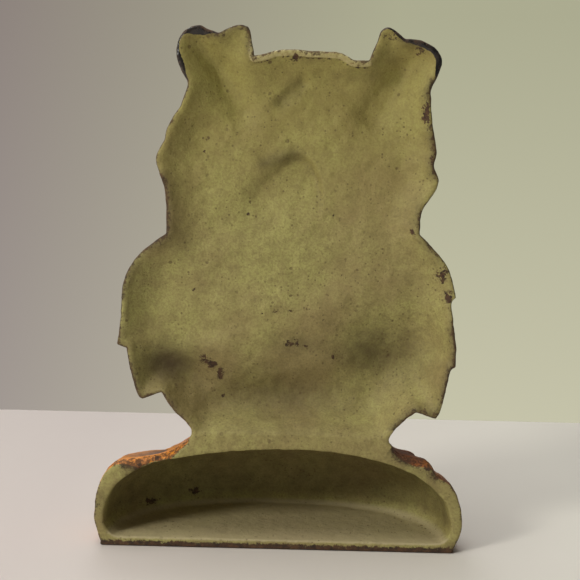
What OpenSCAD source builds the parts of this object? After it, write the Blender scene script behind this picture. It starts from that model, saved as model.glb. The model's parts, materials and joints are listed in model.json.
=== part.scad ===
// Hollow-backed cast-iron owl doorstop.
// The real object is one iron casting: a thin relief shell, open at the back, on a half-round mound.
// Each node is one region of that casting, cut along its own border and touching its neighbours face to face.
// Frame: +Z up, front towards -Y, origin at the centre of the bounding box's bottom face, millimetres.
// "Left" and "right" are the owl's own, so the owl's left is +X. An outline point is [x, z].

/* [Mound] */
// Depth of the mound, from the back plane to its front
base_depth = 58; // [50:1:72]
// Roundness of the mound seen from above: 2 is an ellipse, more is squarer
plan_power = 2.4; // [2:0.1:3]
// Roundness of the mound seen from the side
side_power = 2.7; // [2:0.1:3.5]
// Thickness of the floor
floor_t = 4.5; // [3:0.5:6]

/* [Shell] */
// Thickness of the iron
wall = 4.5; // [3.5:0.5:5.5]
// How deep the back is dished inside its rim
dish_depth = 9; // [6:0.5:12]
// Width over which the dish falls away from the rim
rim_slope = 8; // [5:0.5:12]
// Width over which the front rounds off towards the rim
front_slope = 5; // [3:0.5:7]
// How far the wings stand proud of the breast
wing_raise = 3; // [1:0.5:5]

/* [Relief] */
// How far the thighs bulge
thigh_bulge = 11; // [6:0.5:13]
// How far the lower belly bulges between the thighs
belly_bulge = 6; // [3:0.5:9]
// How far the breast bulges
breast_bulge = 3; // [1:0.5:5]
// Depth of the groove that runs down the back of each ear tuft
ear_groove = 4; // [2:0.5:5]
// Depth of the pit behind the beak
beak_pit = 3; // [1:0.5:3.5]

/* [Face] */
// Radius of a facial disc
disc_r = 24; // [20:0.5:26]
// Thickness of a facial disc at its raised edge
disc_t = 4; // [3:0.5:5]
// Radius of an eye
eye_r = 9.5; // [7:0.5:11]
// How far an eye stands out of its disc
eye_t = 5; // [3:0.5:6]
// Height of the beak above the face
beak_t = 11; // [8:0.5:14]
// Height of a brow above the face
brow_t = 7; // [4:0.5:8]
// Width of a brow
brow_w = 7; // [5:0.5:9]

/* [Feet] */
// Width of a toe
toe_w = 8.5; // [6:0.5:9]
// Height of a toe above the mound
toe_h = 5.5; // [4:0.5:7]
// Distance between two toes, centre to centre
toe_pitch = 8.5; // [8:0.5:11]

/* [Hidden] */

back_y = base_depth / 2;       // the plane of the casting's back rim
stroke_steps = 2;              // points that smoothing puts on each step of an outline
face_depth = wall + dish_depth; // the face's flat front, measured forward from the back plane
round_fn = 64;
hull_fn = 24;
sheet_t = 0.01;                // thickness of the flat that a hull starts from

cream = [0.80, 0.76, 0.58];
black = [0.06, 0.06, 0.06];
brown = [0.33, 0.22, 0.13];
orange = [0.85, 0.42, 0.08];
yellow = [0.92, 0.72, 0.15];

// ---- the outline of the back, as strokes from corner to corner -----------------------------------

crown = [[-35.5, 221], [-29, 221], [-23, 224], [-10, 224.5], [-4, 225], [4.5, 224.5], [9, 223], [14, 222]];

left_ear = [[14, 222], [16, 232.5], [18, 234.5], [23, 234.5], [29.5, 231.5]];
left_ear_tip = [[29.5, 231.5], [34, 232.8], [38, 234.5], [43, 233], [46.5, 229.5], [48, 223.5], [47, 217.5], [43, 209.5]];
left_cheek = [[43, 209.5], [45.5, 201], [49, 195.5], [52, 190], [53, 185], [56, 179.5], [56.5, 174.5], [53, 164],
              [52, 152.5], [52, 144]];
left_shoulder = [[52, 144], [62, 136.5], [67, 130.5], [70, 124.5], [71.5, 118.5], [72, 107.5]];
left_coverts = [[72, 107.5], [73, 99], [74, 93.5]];
left_primaries = [[69.5, 92], [68, 83.5], [65.5, 74], [63.5, 69.5], [61, 68.5]];
left_under = [[61, 68.5], [53.5, 72]];
left_thigh = [[53.5, 72], [48, 63.5], [43, 59], [40, 55], [39.5, 51]];

right_ear = [[-35.5, 221], [-39, 229.5], [-40.5, 233.5], [-43.5, 235], [-47, 233.5], [-51, 230.5]];
right_ear_tip = [[-51, 230.5], [-57, 230], [-63, 227.5], [-66.5, 223.5], [-67, 218.5], [-63, 208.5]];
right_cheek = [[-63, 208.5], [-63.5, 200], [-65, 190], [-66.5, 181.5], [-65.5, 176], [-67.5, 171], [-67, 165.5],
               [-62, 158], [-60.5, 152.5], [-60.5, 146]];
right_shoulder = [[-60.5, 146], [-66, 140.5], [-71, 135], [-74.5, 129], [-77.5, 118]];
right_coverts = [[-75.5, 115.5], [-77, 105], [-78.5, 96], [-78.5, 86.5]];
right_primaries = [[-76.5, 85], [-74.5, 75], [-73, 67.5], [-70.5, 62.5]];
right_under = [[-70.5, 62.5], [-66, 63.8], [-61.5, 65.5]];
right_thigh = [[-61.5, 65.5], [-56.5, 61.5], [-51.5, 56], [-49.5, 52], [-50, 49.5]];

// the mound's outline at the back plane, clockwise seen from the front
mound_left = [[39.5, 51], [44.5, 47.5], [50.5, 44], [60, 41.5], [67.5, 40.5], [75, 38.5], [80, 33], [83, 25],
              [84, 18], [84, 10.5], [80.5, 0]];
mound_right = [[-80, 0], [-84, 10], [-84, 18], [-82, 26], [-78.5, 32], [-72, 36.5]];
mound_lump = [[-72, 36.5], [-69, 41.5], [-65, 43], [-60, 44], [-54, 46], [-50, 49.5]];
mound_top = [[-50, 49.5], [-30, 51.3], [-5, 52], [20, 51.8], [39.5, 51]];
mound_sink = 4; // the outline is carried this far below the ground, and cut off there
mound_middle = [0, 20];

// the mouth of the mound's hollow, the same way round
mouth = [[-77, 0], [-79, 10], [-78.5, 17], [-75, 25.5], [-62.5, 36], [-44.5, 42.5], [-24.5, 46], [-2, 46.7], [20.5, 45.5],
         [42, 42.3], [52, 39.8], [63, 36.3], [71.5, 31], [76.5, 25], [79.5, 17], [79.5, 10], [77, 0]];

// borders between regions, each from the owl's left to its right, or from top to bottom
neck = [[52, 144], [38, 136], [20, 129], [-4, 126], [-28, 129], [-46, 137], [-60.5, 146]];
left_ear_root = [[14, 222], [22, 214.5], [32, 210], [43, 209.5]];
right_ear_root = [[-35.5, 221], [-43, 213], [-53, 208.5], [-63, 208.5]];
left_wing_edge = [[52, 144], [46.5, 137], [44, 127], [44, 115], [46, 100], [50, 85], [53.5, 72]];
right_wing_edge = [[-60.5, 146], [-55, 138], [-51.5, 127], [-51, 113], [-53, 97], [-57, 80], [-61.5, 65.5]];

// centres that the regions' rings shrink towards
head_centre = [-5, 180];
body_centre = [-3.5, 98];
left_wing_centre = [59, 105];
right_wing_centre = [-66, 105];
left_ear_centre = [31, 219];
right_ear_centre = [-51, 218];

// the face
left_disc_centre = [20.5, 184];
right_disc_centre = [-31.5, 183.5];
beak_top = [-5.5, 174];
beak_tip = [-5.5, 146];
left_thigh_centre = [29, 75];
right_thigh_centre = [-38, 74];
left_foot_x = 16;
right_foot_x = -25;

// ---- outline functions -----------------------------------------------------------------------------

// A point on the Catmull-Rom curve through b and c, with a and d as their neighbours
function spline_point(a, b, c, d, t) =
    0.5 * (2 * b + (c - a) * t + (2 * a - 5 * b + 4 * c - d) * t * t + (3 * b - a - 3 * c + d) * t * t * t);

// A stroke smoothed, from its first point up to but without its last
function smooth(stroke, steps = stroke_steps) = [
    for (i = [0:len(stroke) - 2], k = [0:steps - 1])
        spline_point(stroke[max(i - 1, 0)], stroke[i], stroke[i + 1],
                     stroke[min(i + 2, len(stroke) - 1)], k / steps)
];
function reversed(stroke) = [for (i = [len(stroke) - 1:-1:0]) stroke[i]];
function ends_open(stroke) = concat(smooth(stroke), [stroke[len(stroke) - 1]]);

// each loop runs clockwise seen from the front
head_loop = concat(
    smooth(reversed(right_ear_root)), smooth(crown), smooth(left_ear_root),
    smooth(left_cheek), smooth(neck), smooth(reversed(right_cheek)));
body_loop = concat(
    smooth(reversed(neck)), smooth(left_wing_edge), smooth(left_thigh),
    smooth(reversed(mound_top)), smooth(reversed(right_thigh)), smooth(reversed(right_wing_edge)));
left_wing_loop = concat(
    smooth(left_shoulder), ends_open(left_coverts), smooth(left_primaries),
    smooth(left_under, 1), smooth(reversed(left_wing_edge)));
right_wing_loop = concat(
    smooth(right_wing_edge), smooth(reversed(right_under)), ends_open(reversed(right_primaries)),
    ends_open(reversed(right_coverts)), ends_open(reversed(right_shoulder)));
left_ear_loop = concat(smooth(left_ear), smooth(left_ear_tip), smooth(reversed(left_ear_root)));
right_ear_loop = concat(smooth(reversed(right_ear_tip)), smooth(reversed(right_ear)), smooth(right_ear_root));

// the rim of the whole back: the silhouette, closed along the top of the mound
rim = concat(
    smooth(crown), smooth(left_ear), smooth(left_ear_tip), smooth(left_cheek), smooth(left_shoulder),
    smooth(left_coverts), smooth(left_primaries), smooth(left_under, 4), smooth(left_thigh),
    smooth(reversed(mound_top), 4), smooth(right_thigh), smooth(right_under), smooth(right_primaries),
    smooth(right_coverts), smooth(right_shoulder), smooth(right_cheek), smooth(right_ear_tip), smooth(right_ear));

// ---- relief functions: depths are measured forward from the back plane ---------------------------

function rim_distance(p) = min([for (q = rim) norm(p - q)]);
function fall(distance, slope) = 1 - exp(-pow(distance / slope, 2));
function bulge(p, centre, rx, rz) = exp(-pow((p.x - centre.x) / rx, 2) - pow((p.y - centre.y) / rz, 2));

// Distance from p to the line between a and b
function line_distance(p, a, b) =
    norm(p - a - (b - a) * min(max((p - a) * (b - a) / ((b - a) * (b - a)), 0), 1));
function groove(p, a, b, width) = exp(-pow(line_distance(p, a, b) / width, 2));

function body_bulges(p) =
    thigh_bulge * (bulge(p, left_thigh_centre, 17, 16) + bulge(p, right_thigh_centre, 17, 16))
    + belly_bulge * bulge(p, [-4.5, 72], 12, 16)
    + breast_bulge * bulge(p, [-4, 116], 34, 22);
function ear_grooves(p) =
    ear_groove * (groove(p, [40, 225], [26, 198], 7) + groove(p, [-58, 221], [-42, 198], 7));
function beak_hollow(p) = beak_pit * bulge(p, [-4, 158], 12, 15);

// The back surface, and the front surface one wall before it. The face's front leaves out the pits.
function back_depth(p) =
    fall(rim_distance(p), rim_slope) * (dish_depth + body_bulges(p) + ear_grooves(p) + beak_hollow(p));
function front_depth(p) = wall + fall(rim_distance(p), front_slope) * (dish_depth + body_bulges(p));

// ---- solids ---------------------------------------------------------------------------------------

// A region of the shell: loop shrunk ring by ring to its centre, on the front surface and on the back one.
module relief(loop, centre, rings, raise = 0) {
    n = len(loop);
    plan = concat(
        [for (k = [0:rings - 1], q = loop) centre + (q - centre) * (1 - k / rings)],
        [centre]);
    front = [for (p = plan) [p.x, back_y - front_depth(p) - raise, p.y]];
    back = [for (p = plan) [p.x, back_y - back_depth(p), p.y]];
    total = len(plan);
    function ring_faces(start, flip) = [
        for (k = [0:rings - 2], i = [0:n - 1])
            let (j = (i + 1) % n, a = start + k * n, b = a + n)
                each (flip ? [[a + i, b + i, b + j], [a + i, b + j, a + j]]
                           : [[a + i, b + j, b + i], [a + i, a + j, b + j]])
    ];
    function cap_faces(start, flip) = [
        for (i = [0:n - 1])
            let (j = (i + 1) % n, a = start + (rings - 1) * n, c = start + total - 1)
                flip ? [a + i, c, a + j] : [a + i, a + j, c]
    ];
    wall_faces = [
        for (i = [0:n - 1])
            let (j = (i + 1) % n)
                each [[i, total + i, total + j], [i, total + j, j]]
    ];
    polyhedron(
        points = concat(front, back),
        faces = concat(ring_faces(0, false), cap_faces(0, false),
                       ring_faces(total, true), cap_faces(total, true), wall_faces),
        convexity = 6);
}

// How much of its full width and height the mound has at share t of its depth
function mound_width(t) = pow(1 - pow(t, plan_power), 1 / plan_power);
function mound_height(t) = pow(1 - pow(t, side_power), 1 / side_power);

mound_loop = concat(
    smooth(mound_left), [[80.5, 0], [80.5, -mound_sink], [-80, -mound_sink]],
    smooth(mound_right), smooth(mound_lump), smooth(mound_top));
mouth_loop = concat(ends_open(mouth), [[77, -mound_sink], [-77, -mound_sink]]);
top_z = max([for (q = mound_loop) q.y]);

// A mound as a solid: loop at the back plane, drawn in section by section to the front.
// start is the share of the depth where it begins, below 0 to run it out behind the back plane.
module mound(loop, depth, start = 0) {
    steps = 11;
    shares = concat([start], [for (k = [1:steps]) 1 - pow(1 - k / (steps + 0.2), 2)]);
    n = len(loop);
    sections = [
        for (t = shares, q = loop)
            [q.x * mound_width(max(t, 0)), back_y - depth * t, q.y * mound_height(max(t, 0))]
    ];
    caps = [
        for (t = [start, shares[steps]])
            [mound_middle.x, back_y - depth * t, mound_middle.y * mound_height(max(t, 0))]
    ];
    sides = [
        for (k = [0:steps - 1], i = [0:n - 1])
            let (j = (i + 1) % n, a = k * n, b = a + n)
                each [[a + i, b + j, b + i], [a + i, a + j, b + j]]
    ];
    ends = [
        for (i = [0:n - 1])
            let (j = (i + 1) % n, a = steps * n, c = len(sections))
                each [[i, c, j], [a + i, a + j, c + 1]]
    ];
    polyhedron(points = concat(sections, caps), faces = concat(sides, ends), convexity = 6);
}

// Height of the mound's top at a depth forward of the back plane
function mound_top_z(depth) = top_z * mound_height(depth / base_depth);

// Everything above height z
module above(z) {
    reach = 200;
    translate([-reach, -reach, z]) cube([reach * 2, reach * 2, reach]);
}

module base_mound() {
    color(cream)
        difference() {
            intersection() {
                mound(mound_loop, base_depth);
                above(0);
            }
            intersection() {
                mound(mouth_loop, base_depth - wall, -0.05);
                above(floor_t);
            }
        }
}

module body_shell() {
    color(cream) relief(body_loop, body_centre, 10);
}

module head_shell() {
    color(cream) relief(head_loop, head_centre, 9);
}

module left_wing() {
    color(brown) relief(left_wing_loop, left_wing_centre, 5, wing_raise);
}

module right_wing() {
    color(brown) relief(right_wing_loop, right_wing_centre, 5, wing_raise);
}

module left_ear_tuft() {
    color(black) relief(left_ear_loop, left_ear_centre, 5);
}

module right_ear_tuft() {
    color(black) relief(right_ear_loop, right_ear_centre, 5);
}

// Stands its children, drawn with +Z away from the face, on the face's front at [x, z]
module on_face(p, depth = face_depth) {
    translate([p.x, back_y - depth, p.y]) rotate([90, 0, 0]) children();
}

// A dished disc with a raised, rounded edge
disc_seat_t = 1.5;
module facial_disc(centre) {
    color(cream)
        on_face(centre)
            rotate_extrude($fn = round_fn)
                polygon([[0, 0], [disc_r, 0], [disc_r, disc_t * 0.5], [disc_r - 1.5, disc_t],
                         [disc_r - 4, disc_t], [eye_r + 2, disc_seat_t], [0, disc_seat_t]]);
}

module left_facial_disc() {
    facial_disc(left_disc_centre);
}

module right_facial_disc() {
    facial_disc(right_disc_centre);
}

// A dome cut from a sphere, standing on the middle of its disc
module eye(centre) {
    ball_r = (eye_r * eye_r + eye_t * eye_t) / (2 * eye_t);
    color(yellow)
        on_face(centre, face_depth + disc_seat_t)
            intersection() {
                translate([0, 0, eye_t - ball_r]) sphere(ball_r, $fn = round_fn);
                cylinder(h = eye_t + 1, r = eye_r, $fn = round_fn);
            }
}

module left_eye() {
    eye(left_disc_centre);
}

module right_eye() {
    eye(right_disc_centre);
}

// A hooked beak that lies between the discs
beak_tip_r = 3;
module beak() {
    half_gap = (left_disc_centre.x - right_disc_centre.x) / 2 - disc_r;
    color(orange)
        on_face(beak_top)
            hull() {
                linear_extrude(height = sheet_t)
                    polygon([[-half_gap, -1], [0, 4], [half_gap, -1], [half_gap, -8], [6, -22], [0, -26], [-6, -22],
                             [-half_gap, -8]]);
                translate([0, -5, beak_t - beak_tip_r - 2]) sphere(beak_tip_r, $fn = hull_fn);
                translate([beak_tip.x - beak_top.x, beak_tip.y - beak_top.y + 6, beak_t - beak_tip_r])
                    sphere(beak_tip_r, $fn = hull_fn);
            }
}

// A ridge with a half-round section, lying along its stations: [x, y, height of its bed, width, height].
// A shallow keel along the middle of its underside beds it into what it lies on.
ridge_sides = 8;
ridge_keel = 0.4;
module ridge(stations) {
    n = ridge_sides + 2;
    last = len(stations) - 1;
    function along(i) =
        let (a = stations[max(i - 1, 0)], b = stations[min(i + 1, last)], d = [b.x - a.x, b.y - a.y])
            d / norm(d);
    points = [
        for (i = [0:last])
            let (s = stations[i], d = along(i))
                each concat(
                    [for (k = [0:ridge_sides])
                        let (angle = 180 * k / ridge_sides, side = s[3] / 2 * cos(angle))
                            [s.x + d.y * side, s.y - d.x * side, s.z + s[4] * sin(angle)]],
                    [[s.x, s.y, s.z - ridge_keel]])
    ];
    skin = [
        for (i = [0:last - 1], k = [0:n - 1])
            let (j = (k + 1) % n, a = i * n, b = a + n)
                each [[a + k, b + j, b + k], [a + k, a + j, b + j]]
    ];
    ends = [[for (k = [0:n - 1]) n - 1 - k], [for (k = [0:n - 1]) last * n + k]];
    polyhedron(points = points, faces = concat(skin, ends), convexity = 4);
}

// A brow arches round the upper edge of its disc, from above the beak to the root of the ear tuft.
// side is 1 on the owl's left and -1 on its right.
brow_steps = 9;
brow_start = 140;
brow_end = 48;
module brow(centre, side) {
    stations = [
        for (k = [0:brow_steps])
            let (t = k / brow_steps, angle = brow_start + (brow_end - brow_start) * t,
                 r = disc_r + brow_w / 2 + 0.5, swell = 0.35 + 0.65 * sin(180 * pow(t, 0.7)))
                [centre.x + side * r * cos(angle), centre.y + r * sin(angle), 0, brow_w * swell, brow_t * swell]
    ];
    color(brown) on_face([0, 0]) ridge(stations);
}

module left_brow() {
    brow(left_disc_centre, 1);
}

module right_brow() {
    brow(right_disc_centre, -1);
}

// A toe lies from under the belly forward over the mound and down its front.
// place is its place across the foot: -1, 0 or 1, counted towards the owl's left.
toe_steps = 8;
toe_start = 20; // depth at which the toes come out from under the belly
toe_end = 0.84; // share of the mound's depth that the claws reach
toe_spread = 0.3; // how much further apart the toes are at their claws
module toe(foot_x, place) {
    reach = base_depth * toe_end - toe_start;
    color(orange)
        translate([0, back_y, 0])
            ridge([
                for (k = [0:toe_steps])
                    let (t = k / toe_steps, depth = toe_start + reach * t,
                         size = 0.75 + 0.25 * sin(180 * t) - 0.5 * pow(t, 3))
                        [foot_x + place * toe_pitch * (1 + toe_spread * t), -depth, mound_top_z(depth),
                         toe_w * size, toe_h * size]
            ]);
}

module left_inner_toe() {
    toe(left_foot_x, -1);
}

module left_middle_toe() {
    toe(left_foot_x, 0);
}

module left_outer_toe() {
    toe(left_foot_x, 1);
}

module right_inner_toe() {
    toe(right_foot_x, 1);
}

module right_middle_toe() {
    toe(right_foot_x, 0);
}

module right_outer_toe() {
    toe(right_foot_x, -1);
}

base_mound();
body_shell();
head_shell();
left_wing();
right_wing();
left_ear_tuft();
right_ear_tuft();
left_facial_disc();
right_facial_disc();
left_eye();
right_eye();
beak();
left_brow();
right_brow();
left_inner_toe();
left_middle_toe();
left_outer_toe();
right_inner_toe();
right_middle_toe();
right_outer_toe();
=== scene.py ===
"""A hollow-backed cast-iron owl on a half-round mound, seen from behind.

The casting is sculpted as one field of distances in the CAD frame, meshed, and cut along the borders of
the CAD regions. Lengths are in millimetres until a mesh is made, and depth is measured forward from the
plane of the casting's back rim.
"""
import functools
import json
import math

import bmesh
import bpy
import numpy as np
import openvdb
from mathutils import Matrix, Vector


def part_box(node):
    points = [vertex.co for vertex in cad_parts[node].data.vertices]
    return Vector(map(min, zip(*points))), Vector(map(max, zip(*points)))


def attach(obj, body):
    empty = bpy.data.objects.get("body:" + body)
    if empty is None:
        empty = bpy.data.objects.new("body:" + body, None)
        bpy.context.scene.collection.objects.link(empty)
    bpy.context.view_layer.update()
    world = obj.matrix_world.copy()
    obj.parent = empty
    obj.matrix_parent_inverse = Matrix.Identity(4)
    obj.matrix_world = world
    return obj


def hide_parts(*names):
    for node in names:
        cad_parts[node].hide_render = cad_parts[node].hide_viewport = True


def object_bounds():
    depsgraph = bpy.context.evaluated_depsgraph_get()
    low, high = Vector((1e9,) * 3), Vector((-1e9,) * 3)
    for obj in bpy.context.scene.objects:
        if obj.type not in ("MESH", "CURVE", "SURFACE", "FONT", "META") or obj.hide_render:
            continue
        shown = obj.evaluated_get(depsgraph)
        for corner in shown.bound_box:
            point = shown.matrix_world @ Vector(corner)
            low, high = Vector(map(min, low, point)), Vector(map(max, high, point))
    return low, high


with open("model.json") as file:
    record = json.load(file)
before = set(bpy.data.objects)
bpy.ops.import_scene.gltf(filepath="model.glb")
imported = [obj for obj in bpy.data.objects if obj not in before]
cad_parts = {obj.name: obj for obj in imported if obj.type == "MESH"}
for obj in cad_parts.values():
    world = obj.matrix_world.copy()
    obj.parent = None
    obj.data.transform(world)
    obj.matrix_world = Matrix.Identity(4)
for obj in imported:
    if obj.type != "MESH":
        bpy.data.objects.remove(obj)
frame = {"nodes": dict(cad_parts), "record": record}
cad_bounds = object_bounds()

MM = 0.001
BACK = cad_bounds[1].y / MM  # the back plane's Y
SHELLS = ["left_ear_tuft", "right_ear_tuft", "left_wing", "right_wing", "head_shell", "body_shell"]
LEFT_TOES = ["left_inner_toe", "left_middle_toe", "left_outer_toe"]
RIGHT_TOES = ["right_inner_toe", "right_middle_toe", "right_outer_toe"]

# the casting, as in the CAD model
WALL = 4.5
THINNEST = 2.8  # where the back's hollows press deep
DEEPEST_AT_FACE = 11.3  # so that no hollow reaches the pieces of the face
DISH = 9.0
RIM_SLOPE = 8.0
PLAN_POWER = 2.4
SIDE_POWER = 2.7
FLOOR = 4.5
GROUND_SINK = 6.0  # how far below the ground the mound's field is carried
RIM_EDGE = 3.4  # the iron's depth at the rim, before the front rises
RIM_ROUND, BACK_ROUND, MOUTH_ROUND, FOOT_ROUND = 1.2, 1.7, 1.8, 0.8
LEG_BLEND, NECK_BLEND, HOLLOW_BLEND = 3.0, 4.5, 7.0
ROCKS = 64
CREVICE_DEPTH, CREVICE_WIDTH = 2.3, 2.0
CLEAR_OF_BACK, CLEAR_OF_FRONT = 0.25, 0.6  # room left to the CAD box
SCALE_LENGTH = 2.1  # of the scales along a toe
EMBEDDED = 1.0  # how far the pieces of the face reach into the casting

VOXEL = 0.5
FINE_VOXEL = 0.3
BAND = 1.6  # noise is only worked out this near the surface


# ---- places taken from the frame ----

def box_mm(*nodes):
    """The box round CAD nodes as (low, high), with y turned into depth: x, depth, z."""
    corners = [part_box(node) for node in nodes]
    low = np.min([np.array(low) for low, high in corners], axis=0) / MM
    high = np.max([np.array(high) for low, high in corners], axis=0) / MM
    return np.array([low[0], BACK - high[1], low[2]]), np.array([high[0], BACK - low[1], high[2]])


def middle(*nodes):
    low, high = box_mm(*nodes)
    return (low + high) / 2


def radius(node):
    low, high = box_mm(node)
    return (high - low)[0] / 2


_, MOUND_DEPTH, MOUND_TOP = box_mm("base_mound")[1]
FACE_DEPTH = box_mm("left_facial_disc")[0][1]
DISC_R = radius("left_facial_disc")
EYE_R = radius("left_eye")


def outline_edges(node, counts):
    """The edges round those faces of a CAD node that counts() accepts, as pairs of points (x, z)."""
    mesh = bmesh.new()
    mesh.from_mesh(frame["nodes"][node].data)
    bmesh.ops.remove_doubles(mesh, verts=mesh.verts, dist=1e-6)
    edges = []
    for edge in mesh.edges:
        if sum(counts(face) for face in edge.link_faces) == 1:
            edges.append([(v.co.x / MM, v.co.z / MM) for v in edge.verts])
    mesh.free()
    return np.array(edges)


def chained(edges, tolerance=0.02):
    """Closed loops from loose edges whose ends meet, widest first."""
    points, links = [], {}
    for edge in edges:
        ends = []
        for p in edge:
            near = [i for i, q in enumerate(points) if abs(q[0] - p[0]) + abs(q[1] - p[1]) < tolerance]
            if not near:
                points.append(p)
            ends.append(near[0] if near else len(points) - 1)
        if ends[0] != ends[1]:
            links.setdefault(ends[0], set()).add(ends[1])
            links.setdefault(ends[1], set()).add(ends[0])
    loops, left = [], set(links)
    while left:
        here = min(left)
        loop = []
        while here is not None:
            loop.append(points[here])
            left.discard(here)
            here = next((i for i in sorted(links[here]) if i in left), None)
        loops.append(np.array(loop))
    return sorted(loops, key=lambda loop: -np.ptp(loop[:, 0]))


def is_skin(face):
    """A face of a shell's front or back, and not of the wall round it."""
    return abs(face.normal.y) > 1e-3


def is_back_rim(face):
    return all(abs(v.co.y / MM - BACK) < 0.01 for v in face.verts)


def segments(loop):
    return np.stack([loop, np.roll(loop, -1, axis=0)], axis=1)


def not_shared(mine, others, tolerance=0.1):
    """Which of mine no segment of others lies on."""
    a, b = mine.mean(axis=1), others.mean(axis=1)
    return np.array([np.abs(b - p).sum(axis=1).min() > tolerance for p in a])


def spaced(loop, least=1.2):
    """A loop without points that crowd the one before."""
    kept = [loop[0]]
    for p in loop[1:]:
        if min(np.hypot(*(p - kept[-1])), np.hypot(*(p - kept[0]))) > least:
            kept.append(p)
    return np.array(kept)


def curved(loop, steps=4, corner=48.0):
    """A loop drawn as smooth curves between its corners."""
    loop = spaced(loop)
    n = len(loop)
    before = loop - np.roll(loop, 1, axis=0)
    after = np.roll(before, -1, axis=0)
    turn = np.degrees(np.arctan2(before[:, 0] * after[:, 1] - before[:, 1] * after[:, 0],
                                 (before * after).sum(axis=1)))
    sharp = np.abs(turn) > corner
    result = []
    for i in range(n):
        b, c = loop[i], loop[(i + 1) % n]
        a = b if sharp[i] else loop[i - 1]
        d = c if sharp[(i + 1) % n] else loop[(i + 2) % n]
        for t in np.arange(steps) / steps:
            result.append(0.5 * (2 * b + (c - a) * t + (2 * a - 5 * b + 4 * c - d) * t ** 2
                                 + (3 * b - a - 3 * c + d) * t ** 3))
    return np.array(result)


borders = {node: chained(outline_edges(node, is_skin))[0] for node in SHELLS}
mound_outline, mouth_outline = chained(outline_edges("base_mound", is_back_rim))[:2]
outer_edges = []
for node in SHELLS:
    own = segments(borders[node])
    rest = np.concatenate([segments(borders[other]) for other in SHELLS if other != node])
    outer_edges.append(own[not_shared(own, rest)])
rim = curved(chained(np.concatenate(outer_edges))[0])


def carried_down(loop, cut):
    """A loop that ends on the level line z = cut, closed below the ground instead."""
    curve = curved(loop)
    low = curve[:, 1] < cut + 1.0
    start = np.flatnonzero(low & ~np.roll(low, 1))[0]
    kept = np.roll(curve, -start, axis=0)
    kept = kept[kept[:, 1] >= cut + 1.0]
    first, last = kept[0], kept[-1]
    return np.vstack([kept, [last[0], -GROUND_SINK], [first[0], -GROUND_SINK]])


# ---- the sculpting grid ----

def axis(low, high, step=VOXEL):
    return np.arange(low, high + step, step, dtype=np.float32)


LOW = np.array([cad_bounds[0].x / MM - 3, -3, -3])
HIGH = np.array([cad_bounds[1].x / MM + 3, MOUND_DEPTH + 3, cad_bounds[1].z / MM + 3])
GRID_X, GRID_D, GRID_Z = [axis(LOW[k], HIGH[k]) for k in range(3)]
X, Z = np.meshgrid(GRID_X, GRID_Z, indexing="ij")


def signed_distance(loop):
    """Distance from each point of the grid's front view to a loop, below 0 inside it."""
    nearest = np.full(X.shape, 1e9, np.float32)
    inside = np.zeros(X.shape, bool)
    for (ax, az), (bx, bz) in segments(loop.astype(np.float32)):
        dx, dz = bx - ax, bz - az
        length2 = dx * dx + dz * dz
        if length2 < 1e-8:
            continue
        px, pz = X - ax, Z - az
        t = np.clip((px * dx + pz * dz) / length2, 0, 1)
        nearest = np.minimum(nearest, (px - t * dx) ** 2 + (pz - t * dz) ** 2)
        if az != bz:
            inside ^= ((az > Z) != (bz > Z)) & (px < dx * pz / dz)
    return np.where(inside, -1, 1) * np.sqrt(nearest)


def smoothstep(low, high, value):
    t = np.clip((value - low) / (high - low), 0, 1)
    return t * t * (3 - 2 * t)


def smooth_max(a, b, k):
    h = np.clip(0.5 + 0.5 * (a - b) / k, 0, 1)
    return b + (a - b) * h + k * h * (1 - h)


def smooth_min(a, b, k):
    return -smooth_max(-a, -b, k)


def merged(fields, k):
    """Fields joined one after another, with their seams rounded."""
    return functools.reduce(lambda a, b: smooth_min(a, b, k), fields)


def sample(values, x, z):
    """A front-view map read at points between its grid lines."""
    u = np.clip((x - GRID_X[0]) / VOXEL, 0, values.shape[0] - 1.001)
    w = np.clip((z - GRID_Z[0]) / VOXEL, 0, values.shape[1] - 1.001)
    i, k = u.astype(np.int32), w.astype(np.int32)
    fu, fw = u - i, w - k
    flat = values.ravel()
    at = i * values.shape[1] + k
    step = values.shape[1]
    return ((flat[at] * (1 - fu) + flat[at + step] * fu) * (1 - fw)
            + (flat[at + 1] * (1 - fu) + flat[at + step + 1] * fu) * fw)


def noise(x, y, z, size, seed):
    """Smooth noise between about -1 and 1, with that grain size."""
    table = np.random.default_rng(seed).uniform(-1, 1, 4096).astype(np.float32)
    parts = []
    for value in (x, y, z):
        q = np.asarray(value, np.float32) / size
        cell = np.floor(q)
        t = q - cell
        parts.append((cell.astype(np.int64), t * t * (3 - 2 * t)))
    total = 0
    for corner in range(8):
        key, weight = 0, 1
        for axis_number, prime in enumerate((73856093, 19349663, 83492791)):
            cell, t = parts[axis_number]
            far = (corner >> axis_number) & 1
            key = key ^ ((cell + far) * prime)
            weight = weight * (t if far else 1 - t)
        total = total + table[key & 4095] * weight
    return total


# ---- relief, as front-view maps ----

rim_distance = signed_distance(rim)
INSET = -rim_distance
region = {node: signed_distance(curved(borders[node])) for node in SHELLS}


def bulge(x, z, rx, rz):
    return np.exp(-((X - x) / rx) ** 2 - ((Z - z) / rz) ** 2)


def groove(a, b, width):
    """1 along the line from a to b, falling away to each side."""
    a, b = np.array(a), np.array(b)
    d = b - a
    t = np.clip(((X - a[0]) * d[0] + (Z - a[1]) * d[1]) / (d @ d), 0, 1)
    return np.exp(-((X - a[0] - t * d[0]) ** 2 + (Z - a[1] - t * d[1]) ** 2) / width ** 2)


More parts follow.
